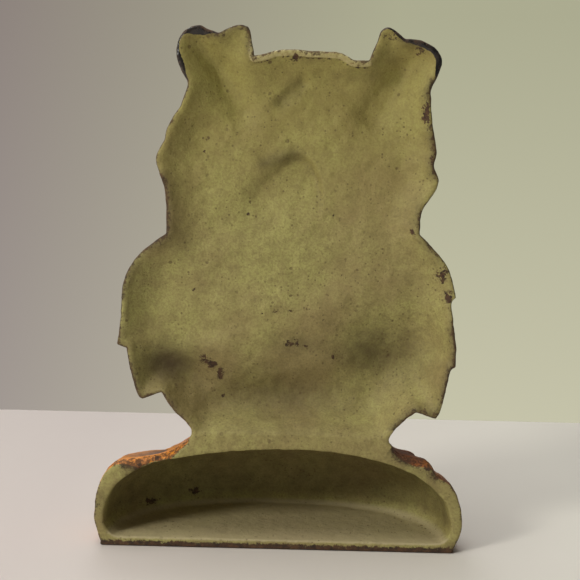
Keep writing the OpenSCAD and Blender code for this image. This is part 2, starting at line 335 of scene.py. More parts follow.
def form(x, z):
    """How far forward of its rim's dish the body is pressed, at points of the front view."""
    def lump(cx, cz, rx, rz):
        return np.exp(-((x - cx) / rx) ** 2 - ((z - cz) / rz) ** 2)
    brink = np.interp(x, [-60, -45, -35, -15, 5, 30, 50], [124, 122, 118, 107, 98, 94, 93])
    bowl = smoothstep(-4, 40, brink - z) * (1 - 0.8 * smoothstep(63, 51, z))
    return (8.5 * bowl + 4.6 * lump(49, 77, 12, 9) + 3.6 * lump(-47, 82, 12, 12) + 2.2 * lump(2, 70, 24, 8)
            - 1.6 * lump(-19, 85, 8, 6) - 1.6 * lump(28, 92, 10, 8) - 1.3 * lump(2, 112, 40, 9))


def beak_pit():
    """A pit behind the beak: a steep slanting brow at its top, running out downwards and to the owl's left."""
    level = Z + 0.34 * (X - 1)
    arch = np.hypot(np.where(X > -2, (X + 2) / 44, (X + 2) / 15.5), np.maximum(level - 153, 0) / 25)
    soft = 0.84 - 0.55 * np.clip((X + 2) / 22, 0, 1)
    fading = 1 - 0.7 * smoothstep(0, 30, X)
    return 4.4 * fading * smoothstep(1.05, soft, arch) * smoothstep(140, 172, level)


def back_map():
    inset = np.maximum(INSET, 0)
    fall = blurred(1 - np.exp(-(inset / RIM_SLOPE) ** 2), 3.2) * (1 - np.exp(-(inset / 3.0) ** 2))
    ears = 4.0 * (groove((38, 228), (20, 199), 6.0) + groove((-58, 226), (-38, 198), 6.5))
    nick = 1.5 * groove((-7, 211), (2, 203), 2.6)
    crown = 1.4 * bulge(-8, 211, 30, 7)
    waves = 0.55 * noise(X, 0 * X, Z, 21, 5) + 0.40 * noise(X, 0 * X, Z, 9, 6) + 0.16 * noise(X, 0 * X, Z, 4, 7)
    dish = (DISH - 1.6 * smoothstep(112, 150, Z)) * (1 - 0.7 * smoothstep(63, 47, Z))
    depth = fall * (dish + form(X, Z) + ears + nick + crown + beak_pit() + waves)
    return np.where(Z > 140, smooth_min(depth, DEEPEST_AT_FACE, 1.5), depth)


def blurred(values, spread):
    """A front-view map smoothed over about spread millimetres."""
    fx = np.fft.fftfreq(values.shape[0], VOXEL)[:, None]
    fz = np.fft.rfftfreq(values.shape[1], VOXEL)[None, :]
    keep = np.exp(-2 * (np.pi * spread) ** 2 * (fx ** 2 + fz ** 2))
    return np.fft.irfft2(np.fft.rfft2(values) * keep, values.shape)


def scallops(u, v, width, drop, seed=0):
    """Overlapping feathers that point down v: their height, 1 at the tip, and 1 along the tip's edge."""
    row = np.ceil(v / drop)
    for upper in (True, False):
        k = row if upper else row - 1
        shift = 0.5 * (k % 2) + 0.12 * np.sin(k * 7.3 + seed)
        across = ((u / width + shift) % 1) * 2 - 1
        low = k * drop - 0.92 * drop * np.sqrt(np.maximum(1 - across ** 2, 0))
        here = v - low
        if upper:
            covered, across_top, top = here >= 0, across, here
    here = np.where(covered, top, here)
    across = np.where(covered, across_top, across)
    shaft = np.exp(-(across / 0.09) ** 2) * 0.16
    barbs = 0.07 * np.cos(across * 9 + here * 2.2) * (np.abs(across) > 0.1)
    height = 1 - np.clip(here / (1.75 * drop), 0, 1) + shaft + barbs
    return height, np.exp(-here / (0.16 * drop))


def fan(u, count, seed):
    """Fine ridges side by side, a little uneven, along the direction across u (0 to 1)."""
    return 0.5 + 0.5 * np.cos(2 * np.pi * count * u + 1.6 * noise(u * 9, 0 * u, 0 * u, 1, seed))


def wing_feathers(side):
    """Coverts in rows above, long flight feathers below, which run to the tips of the outline."""
    centre = middle("left_wing" if side > 0 else "right_wing")
    lean = side * 0.16
    u = X - centre[0] + lean * (Z - centre[2])
    short, short_edge = scallops(u, Z + 0.10 * side * u, 8.0, 7.5, seed=1)
    long, long_edge = scallops(u + 2.5, Z + 0.35 * side * u - 63, 7.0, 27.0, seed=2)
    quill = 0.25 * fan(u / 7.0, 3, 3)
    below = smoothstep(108, 104, Z + 0.10 * side * u)
    return short * (1 - below) + (long + quill) * below, np.maximum(short_edge * (1 - below), long_edge * below)


def breast_feathers():
    sag = 0.0045 * (X + 4) ** 2
    broad, broad_edge = scallops(X + 4, Z - sag, 10.5, 9.0, seed=4)
    shaggy, shaggy_edge = scallops(X + 0.12 * np.sign(X + 4) * (Z - 70), Z - 2, 6.0, 11.0, seed=5)
    low = smoothstep(96, 90, Z - sag)
    return broad * (1 - low) + shaggy * low, np.maximum(broad_edge * (1 - low), shaggy_edge * low)


def head_feathers():
    """Small feathers in rings round the face, pointing outwards."""
    cx, cz = -5.5, 178.0
    r = np.hypot((X - cx) / 1.08, Z - cz)
    angle = np.arctan2(Z - cz, X - cx)
    return scallops(angle * 46, -r, 7.2, 6.6, seed=6)


def tuft_feathers():
    """Long feathers that run up each ear tuft, as curved grooves."""
    height = np.zeros_like(X)
    for foot_x, tip_x, seed in ((24, 37, 31), (-44, -60, 32)):
        along = np.clip((Z - 206) / 28, 0, 1)
        u = (X - foot_x - (tip_x - foot_x) * along) / 34
        height = np.maximum(height, (np.abs(u) < 0.62) * fan(u, 6, seed))
    return height


def front_map():
    inset = np.maximum(INSET, 0)
    edge = np.clip(inset / 10.0, 0, 1)
    dome = np.sqrt(1 - (1 - edge) ** 2)
    body = np.maximum(form(X, Z), form(-8 - X, Z))
    base = RIM_EDGE + dome * (WALL + DISH - RIM_EDGE + body)
    inside = {node: smoothstep(0.5, -0.9, region[node]) for node in SHELLS}
    fade = smoothstep(0.0, 3.0, inset)
    wings, wing_edges = 0, 0
    for side, node in ((1, "left_wing"), (-1, "right_wing")):
        feathers, edges = wing_feathers(side)
        wings = wings + inside[node] * (3.2 * smoothstep(-0.5, 2.5, -region[node]) + 1.5 * feathers)
        wing_edges = wing_edges + inside[node] * edges
    breast, breast_edges = breast_feathers()
    head, head_edges = head_feathers()
    to_eyes = [np.hypot(X - middle(node)[0], Z - middle(node)[2]) for node in ("left_eye", "right_eye")]
    plain = smoothstep(DISC_R - 2, DISC_R + 2.5, np.minimum(*to_eyes))
    ruff = 2.2 * np.exp(-((region["head_shell"] + 4.5) / 4.0) ** 2) * smoothstep(150, 140, Z)
    crown = 2.0 * bulge(-7, 212, 26, 9) + 1.8 * bulge(-5, 150, 30, 12)
    tufts, tuft_relief = inside["left_ear_tuft"] + inside["right_ear_tuft"], tuft_feathers()
    relief = (wings + inside["body_shell"] * 1.25 * breast
              + inside["head_shell"] * (plain * (1.1 * head + crown) + ruff)
              + tufts * 1.6 * tuft_relief)
    marks = (wing_edges + inside["body_shell"] * breast_edges + inside["head_shell"] * plain * head_edges
             + tufts * tuft_relief)
    return np.maximum(base + fade * relief, back_depth + THINNEST), marks


back_depth = back_map()
front_depth, feather_edges = front_map()


def steepness(depth):
    gx, gz = np.gradient(depth, VOXEL)
    return np.sqrt(1 + np.clip(gx, -3, 3) ** 2 + np.clip(gz, -3, 3) ** 2)


# ---- the casting's field ----

def mound_width(t):
    return (1 - np.clip(t, 0, 0.9995) ** PLAN_POWER) ** (1 / PLAN_POWER)


def mound_height(t):
    return (1 - np.clip(t, 0, 0.9995) ** SIDE_POWER) ** (1 / SIDE_POWER)


def mound_field(outline, depth, dip=0):
    """The outline at the back plane, drawn in slice by slice to the front. dip lowers its top at the back."""
    flat = signed_distance(outline)
    field = np.empty((len(GRID_X), len(GRID_D), len(GRID_Z)), np.float32)
    for j, d in enumerate(GRID_D):
        t = d / depth
        w, h = mound_width(t), mound_height(t)
        side = sample(flat, X / w, (Z + dip * smoothstep(7, 0.5, d)) / h) * min(w, h)
        field[:, j] = side + max(t - 1, 0) * depth
    return field


def boulders(x, d, z):
    """How deep the crevices between the mound's rocks are at points on it."""
    rng = np.random.default_rng(11)
    seeds = rng.uniform([-84, 6, 0], [84, MOUND_DEPTH, MOUND_TOP], (ROCKS, 3))
    first = np.full(x.shape, 1e9, np.float32)
    second = first.copy()
    for sx, sd, sz in seeds:
        r = np.sqrt(((x - sx) / 1.25) ** 2 + (d - sd) ** 2 + ((z - sz) * 1.15) ** 2)
        second = np.minimum(second, np.maximum(first, r))
        first = np.minimum(first, r)
    crack = np.exp(-((second - first) / CREVICE_WIDTH) ** 2)
    return crack * smoothstep(5, 14, d) * smoothstep(-1, 6, z)


def capsule(x, d, z, a, b, ra, rb):
    """Distance to a rod from a to b whose radius runs from ra to rb."""
    a, b = np.array(a, float), np.array(b, float)
    v = b - a
    t = np.clip(((x - a[0]) * v[0] + (d - a[1]) * v[1] + (z - a[2]) * v[2]) / (v @ v), 0, 1)
    return np.sqrt((x - a[0] - t * v[0]) ** 2 + (d - a[1] - t * v[1]) ** 2
                   + (z - a[2] - t * v[2]) ** 2) - (ra + (rb - ra) * t)


def rod(x, d, z, stations):
    """Distance to a chain of rods through stations (x, depth, z, radius)."""
    return merged((capsule(x, d, z, a[:3], b[:3], a[3], b[3]) for a, b in zip(stations, stations[1:])), 0.8)


def mound_top_at(depth):
    return MOUND_TOP * mound_height(depth / MOUND_DEPTH)


X3, D3, Z3 = GRID_X[:, None, None], GRID_D[None, :, None], GRID_Z[None, None, :]
shell_field = smooth_max((D3 - front_depth[:, None]) / steepness(front_depth)[:, None],
                         rim_distance[:, None], RIM_ROUND)
RIM_DIP = (5.0 * np.exp(-((X - 58) / 11) ** 2) + 2.6 * np.exp(-((X + 63) / 9) ** 2)) * smoothstep(20, 36, Z)
mound_side = mound_field(carried_down(mound_outline, 0.0), MOUND_DEPTH, RIM_DIP)
mound_outer = smooth_max(mound_side, -D3, 1.4)
hollow = mound_field(carried_down(mouth_outline, FLOOR), MOUND_DEPTH - WALL)
hollow = smooth_max(hollow, FLOOR - Z3, HOLLOW_BLEND)


def legs(x, d, z):
    both = []
    for toes in (LEFT_TOES, RIGHT_TOES):
        foot_x = middle(*toes)[0]
        both.append(capsule(x, d, z, (foot_x * 1.1, 21, 68), (foot_x, 24, MOUND_TOP + 3), 8.0, 6.0))
    return np.minimum(*both)


def grid_places(chosen):
    """Where the chosen cells of the grid are: x, depth, z."""
    cells = np.argwhere(chosen)
    return GRID_X[cells[:, 0]], GRID_D[cells[:, 1]], GRID_Z[cells[:, 2]]


leg_rows = slice(0, np.searchsorted(GRID_Z, 85))
mound_rows = slice(0, np.searchsorted(GRID_Z, MOUND_TOP + 4))
shell_field[:, :, leg_rows] = smooth_min(shell_field[:, :, leg_rows], legs(X3, D3, Z3[:, :, leg_rows]), LEG_BLEND)
shell_field = smooth_max(shell_field, (back_depth[:, None] - D3) / steepness(back_depth)[:, None], BACK_ROUND)
mound_near = np.abs(mound_outer[:, :, mound_rows]) < 4
crevices = CREVICE_DEPTH * boulders(*grid_places(mound_near))
mound_outer[:, :, mound_rows][mound_near] += crevices.astype(np.float32)
casting = smooth_min(shell_field, mound_outer, NECK_BLEND)
casting = smooth_max(casting, -hollow, MOUTH_ROUND)
casting = smooth_max(casting, -Z3, FOOT_ROUND)
casting = smooth_max(casting, CLEAR_OF_BACK - D3, 1.0)
casting = smooth_max(casting, D3 - MOUND_DEPTH + CLEAR_OF_FRONT, 1.5)

near = np.abs(casting) < BAND
near_x, near_d, near_z = grid_places(near)
rough = 0.16 * noise(near_x, near_d, near_z, 3.4, 21) + 0.10 * noise(near_x, near_d, near_z, 1.6, 22)
casting[near] += np.where(near_z > 1.2, rough + 0.12, 0).astype(np.float32)


# ---- meshes ----

def mesh_of(field, low, step, name):
    """A closed mesh of a field's surface, in metres in the CAD frame."""
    grid = openvdb.FloatGrid()
    grid.copyFromArray(np.ascontiguousarray(field, np.float32))
    points, triangles, quads = grid.convertToPolygons(0.0, 0.0)
    x, d, z = (points.astype(np.float64) * step + np.array(low)).T
    place = np.stack([x, BACK - d, z], axis=1) * MM
    corners = np.concatenate([quads.ravel(), triangles.ravel()]).astype(np.int32)
    starts = np.concatenate([np.arange(len(quads)) * 4, len(quads) * 4 + np.arange(len(triangles)) * 3])
    mesh = bpy.data.meshes.new(name)
    mesh.vertices.add(len(place))
    mesh.vertices.foreach_set("co", place.astype(np.float32).ravel())
    mesh.loops.add(len(corners))
    mesh.loops.foreach_set("vertex_index", corners)
    mesh.polygons.add(len(starts))
    mesh.polygons.foreach_set("loop_start", starts.astype(np.int32))
    mesh.update(calc_edges=True)
    return outwards(mesh)


def outwards(mesh):
    """Turns a closed mesh's faces outwards, judged by its volume."""
    shape = bmesh.new()
    shape.from_mesh(mesh)
    if shape.calc_volume(signed=True) < 0:
        bmesh.ops.reverse_faces(shape, faces=shape.faces)
        shape.to_mesh(mesh)
    shape.free()
    mesh.shade_smooth()
    return mesh


def placed(mesh, name):
    piece = bpy.data.objects.new(name, mesh)
    bpy.context.scene.collection.objects.link(piece)
    return piece


def read(items, name, size=1, kind=np.float32):
    """One property of every item in part of a mesh, with size numbers each."""
    values = np.empty(len(items) * size, kind)
    items.foreach_get(name, values)
    return values.reshape(-1, size) if size > 1 else values


def coordinates(mesh):
    """A mesh's vertices as x, depth and z in millimetres."""
    x, y, z = read(mesh.vertices, "co", 3).T
    return x / MM, BACK - y / MM, z / MM


def made_of(shape, name):
    """A mesh made of a bmesh shape, which is then freed."""
    mesh = bpy.data.meshes.new(name)
    shape.to_mesh(mesh)
    shape.free()
    return mesh


def prism(loop, name, near_depth=-8.0, far_depth=MOUND_DEPTH + 8):
    """A cutter: a loop in the front view, drawn out through the depth."""
    shape = bmesh.new()
    ends = [[shape.verts.new((x * MM, (BACK - depth) * MM, z * MM)) for x, z in loop]
            for depth in (near_depth, far_depth)]
    n = len(loop)
    for i in range(n):
        j = (i + 1) % n
        shape.faces.new((ends[0][i], ends[0][j], ends[1][j], ends[1][i]))
    shape.faces.new(ends[0][::-1])
    shape.faces.new(ends[1])
    bmesh.ops.triangulate(shape, faces=shape.faces)
    return placed(outwards(made_of(shape, name)), name)


def cutter_loop(node):
    """A region's border, moved out past the casting wherever it is the casting's own outline."""
    loop = borders[node]
    own = segments(loop)
    others = [segments(borders[other]) for other in SHELLS if other != node] + [segments(mound_outline)]
    free = not_shared(own, np.concatenate(others))
    free_point = free & np.roll(free, 1)
    out = loop - middle(node)[[0, 2]]
    out = out / np.linalg.norm(out, axis=1)[:, None]
    return loop + np.where(free_point[:, None], out * 2.0, 0)


def cut(piece, cutter, operation):
    """piece's mesh after a boolean with cutter."""
    step = piece.modifiers.new("cut", "BOOLEAN")
    step.object = cutter
    step.operation = operation
    step.solver = "MANIFOLD"
    graph = bpy.context.evaluated_depsgraph_get()
    result = bpy.data.meshes.new_from_object(piece.evaluated_get(graph))
    piece.modifiers.remove(step)
    return result


def main_island(mesh):
    """Drops the slivers that cuts along shared borders leave beside the piece itself."""
    ends = read(mesh.edges, "vertices", 2, np.int32).T
    island = np.arange(len(mesh.vertices))
    while True:
        a, b = island[ends[0]], island[ends[1]]
        apart = a != b
        if not apart.any():
            break
        island[np.maximum(a, b)[apart]] = np.minimum(a, b)[apart]
        while (island[island] != island).any():
            island = island[island]
    strays = np.flatnonzero(island != np.bincount(island).argmax())
    shape = bmesh.new()
    shape.from_mesh(mesh)
    shape.verts.ensure_lookup_table()
    bmesh.ops.delete(shape, geom=[shape.verts[i] for i in strays], context="VERTS")
    shape.to_mesh(mesh)
    shape.free()
    mesh.validate()


def store(mesh, name, values):
    old = mesh.attributes.get(name)
    if old:
        mesh.attributes.remove(old)
    mesh.attributes.new(name, "FLOAT", "POINT").data.foreach_set("value", np.asarray(values, np.float32))


def keep_normals(mesh):
    """Saves the smooth normals of the whole casting, so that cut pieces still shade as one."""
    normals = read(mesh.vertices, "normal", 3).ravel()
    mesh.attributes.new("cast_normal", "FLOAT_VECTOR", "POINT").data.foreach_set("vector", normals)


def use_normals(mesh):
    """Shades a cut piece with the casting's normals, and its cut faces flat."""
    normals = read(mesh.attributes["cast_normal"].data, "vector", 3)
    lost = np.linalg.norm(normals, axis=1) < 0.5
    x, d, z = coordinates(mesh)
    normals[lost] = field_normals(x[lost], d[lost], z[lost])
    sizes = read(mesh.polygons, "loop_total", kind=np.int32)
    face_normals = np.repeat(read(mesh.polygons, "normal", 3), sizes, axis=0)
    wanted = normals[read(mesh.loops, "vertex_index", kind=np.int32)]
    is_cut = (wanted * face_normals).sum(axis=1) < 0.35
    mesh.normals_split_custom_set(np.where(is_cut[:, None], face_normals, wanted))
    mesh.attributes.remove(mesh.attributes["cast_normal"])


def field_normals(x, d, z):
    """Directions out of the casting at points on its surface, from the field's slope."""
    i = np.clip(((x - GRID_X[0]) / VOXEL).astype(int), 1, len(GRID_X) - 3)
    j = np.clip(((d - GRID_D[0]) / VOXEL).astype(int), 1, len(GRID_D) - 3)
    k = np.clip(((z - GRID_Z[0]) / VOXEL).astype(int), 1, len(GRID_Z) - 3)
    gx = casting[i + 1, j, k] - casting[i - 1, j, k] + casting[i + 2, j, k] - casting[i, j, k]
    gd = casting[i, j + 1, k] - casting[i, j - 1, k] + casting[i, j + 2, k] - casting[i, j, k]
    gz = casting[i, j, k + 1] - casting[i, j, k - 1] + casting[i, j, k + 2] - casting[i, j, k]
    out = np.stack([gx, -gd, gz], axis=1)
    return out / np.maximum(np.linalg.norm(out, axis=1), 1e-6)[:, None]


def field_at(field, x, d, z):
    i = np.clip(np.rint((x - GRID_X[0]) / VOXEL).astype(int), 0, len(GRID_X) - 1)
    j = np.clip(np.rint((d - GRID_D[0]) / VOXEL).astype(int), 0, len(GRID_D) - 1)
    k = np.clip(np.rint((z - GRID_Z[0]) / VOXEL).astype(int), 0, len(GRID_Z) - 1)
    return field[i, j, k]


# How far the front's enamel wraps over the rim: a thin line, but broad over the ear tufts' ends
WRAP = (0.45 + 2.2 * groove((47, 214), (38, 234), 4.0) + 1.8 * bulge(37, 231, 5, 5)
             + 2.4 * groove((-50, 235), (-66, 220), 5.0))
CROWN_LIP = smoothstep(29, 24, np.abs(X + 10)) * (Z > 214)

# Rust and bare patches on the back, as x, z, radius across, radius up, strength
STAINS = [(35, 86, 3.0, 3.0, 0.9), (31.5, 83.5, 2.6, 3.2, 1.0), (28, 79, 2.2, 3.4, 1.0),
          (-5, 94, 5.0, 2.2, 0.85), (-11, 93, 3.0, 1.0, 0.7), (-23.8, 88, 1.1, 2.2, 0.9),
          (27, 68, 1.2, 1.2, 0.9), (40, 118, 1.2, 1.2, 0.7), (16, 153, 1.2, 1.2, 0.7),
          (-22, 153, 1.2, 1.2, 0.7), (-3.5, 221, 2.2, 2.4, 1.0), (-61, 199, 2.2, 6.0, 1.0),
          (-65, 178, 2.0, 5.0, 0.8), (-57, 147, 1.6, 2.4, 0.8), (-71, 128, 3.0, 4.0, 1.0),
          (-74, 118, 2.4, 4.0, 0.9), (-67.6, 40.7, 2.6, 2.0, 1.0), (9, 108, 2.4, 0.8, 0.75),
          (3, 109, 2.4, 0.8, 0.75), (-4, 109.5, 2.4, 0.8, 0.75), (-11, 110.5, 2.4, 0.8, 0.75),
          (-17, 111, 1.4, 0.8, 0.75), (-18.5, 105, 0.7, 4.0, 0.7), (36, 180, 1.0, 1.2, 0.6),
          (-46, 232, 6.0, 4.0, 0.62), (-58, 226, 5.0, 4.0, 0.58), (63, 9.2, 5.0, 2.2, 0.85),
          (42.7, 11.6, 3.0, 2.4, 1.0), (-12.9, 20.1, 3.5, 1.4, 0.6)]
# Painted shade in the back's hollows and under the crown's rim, the same way
HOLLOW_SHADE = [(51, 84, 13, 9, 1.0), (-44, 90, 18, 13, 0.75), (0, 70, 38, 14, 0.48), (-8, 93, 14, 5, 0.45),
         (-30, 214, 12, 3, 0.25)]
# Painted shadow: dark lines under the beak pit's slanting brow and in the crown's nick
PIT_SHADOW = (0.55 * groove((9, 175.5), (-4, 179.5), 3.2) + 0.25 * groove((-8, 178.5), (-14, 171), 1.8)
            + 0.28 * groove((-15, 169), (-16.5, 158), 1.6) + 0.35 * groove((-6, 210), (3, 202), 3.4))


def blobs(places, x, z):
    total = np.zeros_like(x)
    for cx, cz, rx, rz, strength in places:
        total = np.maximum(total, strength * np.exp(-((x - cx) / rx) ** 2 - ((z - cz) / rz) ** 2))
    return total


def paint_masks(mesh):
    """What the shaders need to know at each vertex of a piece of the casting."""
    x, d, z = coordinates(mesh)
    inset = -sample(rim_distance, x, z)
    depth_above = sample(back_depth, x, z + 6) * (z < MOUND_TOP + 2)
    behind = d - np.maximum(sample(back_depth, x, z), depth_above)
    ledge, above_mound = MOUND_TOP - 1.5, z > MOUND_TOP + 3
    on_shell = (z > ledge) | ((z > MOUND_TOP - 8) & (-sample(rim_distance, x, z + 6) > 1))
    to_hollow, to_outside = np.abs(field_at(hollow, x, d, z)), np.abs(field_at(mound_outer, x, d, z))
    in_hollow = smoothstep(0.58, 0.42, to_hollow / np.maximum(to_hollow + to_outside, 1e-3))
    hollow_end = MOUND_DEPTH - WALL
    in_hollow = in_hollow * (z < ledge) * smoothstep(hollow_end + 1.5, hollow_end + 0.5, d)
    rim_face = smoothstep(1.5, 0.7, d)
    shell_back = smoothstep(1.7, 0.9, behind)
    wrap = np.where(above_mound, smoothstep(-0.35, 0.35, inset - sample(WRAP, x, z)), 1)
    cream = np.maximum(np.maximum(np.where(on_shell, shell_back, 0), in_hollow), rim_face) * wrap
    on_crown = sample(CROWN_LIP, x, z)
    lip = smoothstep(3.2, 2.6, inset) * on_crown * smoothstep(8, 5, d)
    lip_line = 0.62 * np.exp(-((inset - 3.3) / 0.6) ** 2) * on_crown * smoothstep(6, 3, d)
    outer = np.where(above_mound, -inset, field_at(mound_side, x, d, z))
    neck = (z < MOUND_TOP + 5) & (-sample(rim_distance, x, z + 9) > 2)
    dirty = smoothstep(-0.6, 0.5, noise(x, d, z, 11.0, 51)) * np.where(neck, 0, 1) * smoothstep(6, 0.5, np.abs(d))
    edge = np.exp(-np.maximum(-outer - 0.3, 0) / (0.8 + 1.9 * dirty)) * (0.72 + 0.28 * dirty) * (dirty > 0)
    mouth = np.exp(-to_hollow / 1.5) * smoothstep(3.5, 0.5, d) * (z < MOUND_TOP)
    ground = smoothstep(4.6, 1.2, z)
    store(mesh, "cream", cream)
    store(mesh, "edge", np.clip(edge, 0, 1))
    store(mesh, "rust", np.clip(np.maximum(0.12 * mouth, ground), 0, 1))
    store(mesh, "stain", np.maximum(blobs(STAINS, x, z) * np.maximum(cream, lip), lip_line))
    store(mesh, "lip", lip)
    # Painted shade: darker in the back's hollows, and deeper in and higher up the mound's cavity; real dirt along
    # the outer rim joins it
    hollows = np.maximum(blobs(HOLLOW_SHADE, x, z), sample(PIT_SHADOW, x, z))
    grime_and_shade = np.where(on_shell, hollows, 0.55 * in_hollow * smoothstep(2, 12, d) * smoothstep(6, 13, z))
    # Painted light: the floor of the mound's cavity is made paler near the ground
    store(mesh, "painted_floor_light", in_hollow * smoothstep(8, 5.4, z))
    store(mesh, "grime_and_shade", np.maximum(grime_and_shade, 0.9 * dirty * np.exp(-np.maximum(-outer, 0) / 3.4)))
    store(mesh, "mark", np.clip(sample(feather_edges, x, z), 0, 1))
    crevice = np.zeros_like(x)
    low = z < MOUND_TOP + 2
    crevice[low] = boulders(x[low], d[low], z[low])
    store(mesh, "crevice", crevice * (1 - cream))


# ---- shader nodes ----

class Nodes:
    """A node tree, with a short way to add and join nodes."""

    def __init__(self, tree):
        self.tree = tree

    def set(self, socket, value):
        if isinstance(value, bpy.types.NodeSocket):
            self.tree.links.new(value, socket)
        elif isinstance(value, tuple) and len(value) == 3 and socket.type == "RGBA":
            socket.default_value = (*value, 1)
        else:
            socket.default_value = value

    def add(self, kind, output, inputs, **settings):
        node = self.tree.nodes.new(kind)
        for key, value in settings.items():
            setattr(node, key, value)
        for key, value in inputs.items():
            self.set(node.inputs[key], value)
        return node.outputs[output]

    def range(self, value, low, high, to_low=0.0, to_high=1.0):
        return self.add("ShaderNodeMapRange", "Result", {
            "Value": value, "From Min": low, "From Max": high, "To Min": to_low, "To Max": to_high})

    def mix(self, factor, a, b):
        return self.add("ShaderNodeMix", 2, {0: factor, 6: a, 7: b}, data_type="RGBA")


class Shader(Nodes):
    """The nodes of a new material."""

    def __init__(self, name):
        self.material = bpy.data.materials.new(name)
        self.material.use_nodes = True
        super().__init__(self.material.node_tree)
        self.surface = self.tree.nodes["Principled BSDF"]
        self.place = self.add("ShaderNodeTexCoord", "Object", {})

    def mask(self, name):
        return self.add("ShaderNodeAttribute", "Fac", {}, attribute_name=name)

    def along(self, direction, low, high, to_low=0.0, to_high=1.0):
        """A slope from to_low to to_high between two places on an axis, in metres."""
        place = self.add("ShaderNodeSeparateXYZ", direction, {0: self.place})
        return self.range(place, low, high, to_low, to_high)

    def wave(self, texture, low, high):
        """A texture's usual range, spread from low to high."""
        return self.range(texture, 0.3, 0.7, low, high)

    def frayed(self, name, texture, spread):
        """A mask that wanders up and down by spread."""
        return self.math("ADD", self.mask(name), self.wave(texture, -spread, spread))

    def ragged(self, name, texture, spread, low, high):
        """0 to 1 where a mask goes from low to high, with a broken border."""
        return self.range(self.frayed(name, texture, spread), low, high)

    def math(self, operation, a, b=0.0, clamp=False):
        return self.add("ShaderNodeMath", 0, {0: a, 1: b}, operation=operation, use_clamp=clamp)

    def noise(self, size, detail=3.0, seed=0.0, roughness=0.6, stretch=(1, 1, 1)):
        """Noise whose grain is size millimetres."""
        moved = self.add("ShaderNodeMapping", "Vector", {
            "Vector": self.place, "Location": (seed, seed * 0.37, -seed * 0.71), "Scale": stretch})
        return self.add("ShaderNodeTexNoise", "Fac", {
            "Vector": moved, "Scale": 1000.0 / size, "Detail": detail, "Roughness": roughness})

    def specks(self, size, share, seed=0.0):
        """Small round spots, 1 at their middles, in that share of cells size millimetres wide."""
        moved = self.add("ShaderNodeMapping", "Vector", {
            "Vector": self.place, "Location": (seed, -seed, seed * 0.5)})
        distance = self.add("ShaderNodeTexVoronoi", "Distance", {"Vector": moved, "Scale": 1000.0 / size})
        chance = self.add("ShaderNodeSeparateColor", 0, {0: distance.node.outputs["Color"]})
        chosen = self.range(chance, 1 - share, 1 - share + 0.02)
        reach = self.range(chance, 1 - share, 1.0, 0.12, 0.42)
        spot = self.math("SUBTRACT", 1.0, self.math("DIVIDE", distance, reach), clamp=True)
        return self.math("MULTIPLY", self.range(spot, 0.0, 0.35), chosen)

    def layer(self, factor, under, over):
        """(colour, roughness, height) with another such triple over it."""
        return (self.mix(factor, under[0], over[0]),
                self.add("ShaderNodeMix", 0, {0: factor, 2: under[1], 3: over[1]}),
                self.add("ShaderNodeMix", 0, {0: factor, 2: under[2], 3: over[2]}))

    def finish(self, coat, bump=0.5):
        colour, roughness, height = coat
        self.set(self.surface.inputs["Base Color"], colour)
        self.set(self.surface.inputs["Roughness"], roughness)
        relief = self.add("ShaderNodeBump", "Normal", {"Strength": bump, "Distance": 0.4 * MM, "Height": height})
        self.set(self.surface.inputs["Normal"], relief)
        return self.material


RUST_DARK = (0.040, 0.021, 0.012)
RUST = (0.120, 0.058, 0.025)
IRON = (0.035, 0.028, 0.024)


def rust_coat(s):
    patches = s.noise(2.2, 5.0, 3.0)
    grain = s.noise(0.5, 3.0, 4.0)
    colour = s.mix(s.range(patches, 0.38, 0.62), RUST_DARK, RUST)
    return s.mix(s.range(grain, 0.35, 0.75, 0.0, 0.5), colour, IRON), 0.85, s.range(grain, 0.2, 0.8, 0.0, 0.6)


def cream_coat(s):
    """Old cream paint: yellowed in clouds, peppered with rust, rough from the sand mould under it, with painted
    shade in its hollows and painted light on the cavity's floor.
    """
    clouds = s.noise(34.0, 4.0, 1.0)
    mottle = s.noise(6.0, 6.0, 2.0, 0.7)
    grain = s.noise(1.0, 4.0, 5.0, 0.65)
    colour = s.mix(s.range(clouds, 0.36, 0.64), (0.350, 0.282, 0.110), (0.440, 0.412, 0.138))
    colour = s.mix(s.range(mottle, 0.42, 0.68, 0.0, 0.45), colour, (0.265, 0.210, 0.075))
    colour = s.mix(s.range(grain, 0.44, 0.60, 0.0, 0.42), colour, (0.215, 0.165, 0.065))
    colour = s.mix(s.along("Z", 0.14, 0.20, 0.0, 0.40), colour, (0.290, 0.235, 0.040))
    # Painted light: paler on the floor of the mound's cavity
    colour = s.mix(s.math("MULTIPLY", s.mask("painted_floor_light"), 0.7), colour, (0.52, 0.44, 0.27))
    # Darkened by real dirt along the rim and by painted shade in the back's hollows and the mound's cavity
    dirt_and_shade = s.math("ADD", s.mask("grime_and_shade"), s.wave(mottle, -0.12, 0.12), clamp=True)
    colour = s.mix(dirt_and_shade, colour, (0.085, 0.058, 0.019))
    thin = s.range(s.noise(18.0, 5.0, 6.0, 0.7), 0.42, 0.64)
    pinholes = s.math("MULTIPLY", s.specks(1.5, 0.40, 7.0), s.range(thin, 0.0, 1.0, 0.15, 0.9))
    spots = s.math("MULTIPLY", s.specks(2.7, 0.12, 9.0), thin)
    pocks = s.math("MAXIMUM", pinholes, spots)
    height = s.math("SUBTRACT", s.range(grain, 0.2, 0.8, 0.0, 0.9), s.math("MULTIPLY", pocks, 0.7))
    under = (colour, 0.66, height)
    return s.layer(s.math("MULTIPLY", pocks, 0.75), under, ((0.095, 0.055, 0.022), 0.8, height))


